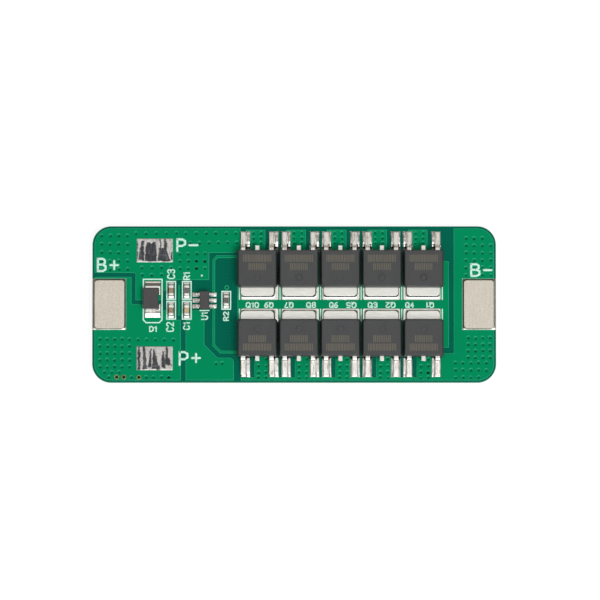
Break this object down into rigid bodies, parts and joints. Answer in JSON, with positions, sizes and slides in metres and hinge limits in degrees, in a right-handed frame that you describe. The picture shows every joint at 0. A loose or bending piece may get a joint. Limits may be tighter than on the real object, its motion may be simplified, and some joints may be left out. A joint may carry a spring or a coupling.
{
  "type": "battery management board",
  "caption": "Battery protection circuit board: rows of power transistors, a small controller with chip parts, nickel weld plates for the cell and tinned pads for the load.",
  "frame": {"origin": "centre of the board's underside", "axes": "+X along the board towards the battery negative plate, +Y across it towards the output negative pad, +Z out of the parts side"},
  "size_m": [0.065, 0.0252, 0.0039],
  "materials": {
    "laminate": "satin solder mask on glass-fibre board",
    "masked_copper": "glossy green solder mask over copper",
    "land": "tinned copper",
    "tinned_pad": "hot-air levelled tin, slightly mottled",
    "solder": "bright reflowed solder",
    "nickel": "dull rolled nickel",
    "leadframe": "matt tin plate",
    "end_cap": "tin plate",
    "moulded_epoxy": "fine matt mould texture",
    "capacitor_ceramic": "fired ceramic",
    "alumina": "white ceramic",
    "resistor_coat": "glass-like coat",
    "legend": "printed ink"
  },
  "bodies": {
    "root": {"battery_negative_plate": "nickel", "battery_positive_plate": "nickel", "bottom_copper": "masked_copper", "capacitor_1_block": "capacitor_ceramic", "capacitor_1_end_caps": "end_cap", "capacitor_2_block": "capacitor_ceramic", "capacitor_2_end_caps": "end_cap", "capacitor_3_block": "capacitor_ceramic", "capacitor_3_end_caps": "end_cap", "controller_body": "moulded_epoxy", "controller_leads": "leadframe", "diode_body": "moulded_epoxy", "diode_terminals": "leadframe", "laminate": "laminate", "legend_outlines": "legend", "output_negative_pad": "tinned_pad", "output_positive_pad": "tinned_pad", "plate_solder": "solder", "resistor_1_coat": "resistor_coat", "resistor_1_end_caps": "end_cap", "resistor_1_substrate": "alumina", "resistor_2_coat": "resistor_coat", "resistor_2_end_caps": "end_cap", "resistor_2_substrate": "alumina", "small_part_solder": "solder", "solder_lands": "land", "top_copper": "masked_copper", "transistor_01_body": "moulded_epoxy", "transistor_01_drain_tab": "leadframe", "transistor_01_leads": "leadframe", "transistor_02_body": "moulded_epoxy", "transistor_02_drain_tab": "leadframe", "transistor_02_leads": "leadframe", "transistor_03_body": "moulded_epoxy", "transistor_03_drain_tab": "leadframe", "transistor_03_leads": "leadframe", "transistor_04_body": "moulded_epoxy", "transistor_04_drain_tab": "leadframe", "transistor_04_leads": "leadframe", "transistor_05_body": "moulded_epoxy", "transistor_05_drain_tab": "leadframe", "transistor_05_leads": "leadframe", "transistor_06_body": "moulded_epoxy", "transistor_06_drain_tab": "leadframe", "transistor_06_leads": "leadframe", "transistor_07_body": "moulded_epoxy", "transistor_07_drain_tab": "leadframe", "transistor_07_leads": "leadframe", "transistor_08_body": "moulded_epoxy", "transistor_08_drain_tab": "leadframe", "transistor_08_leads": "leadframe", "transistor_09_body": "moulded_epoxy", "transistor_09_drain_tab": "leadframe", "transistor_09_leads": "leadframe", "transistor_10_body": "moulded_epoxy", "transistor_10_drain_tab": "leadframe", "transistor_10_leads": "leadframe", "transistor_lead_solder": "solder", "transistor_tab_solder": "solder"}
  },
  "joints": []
}
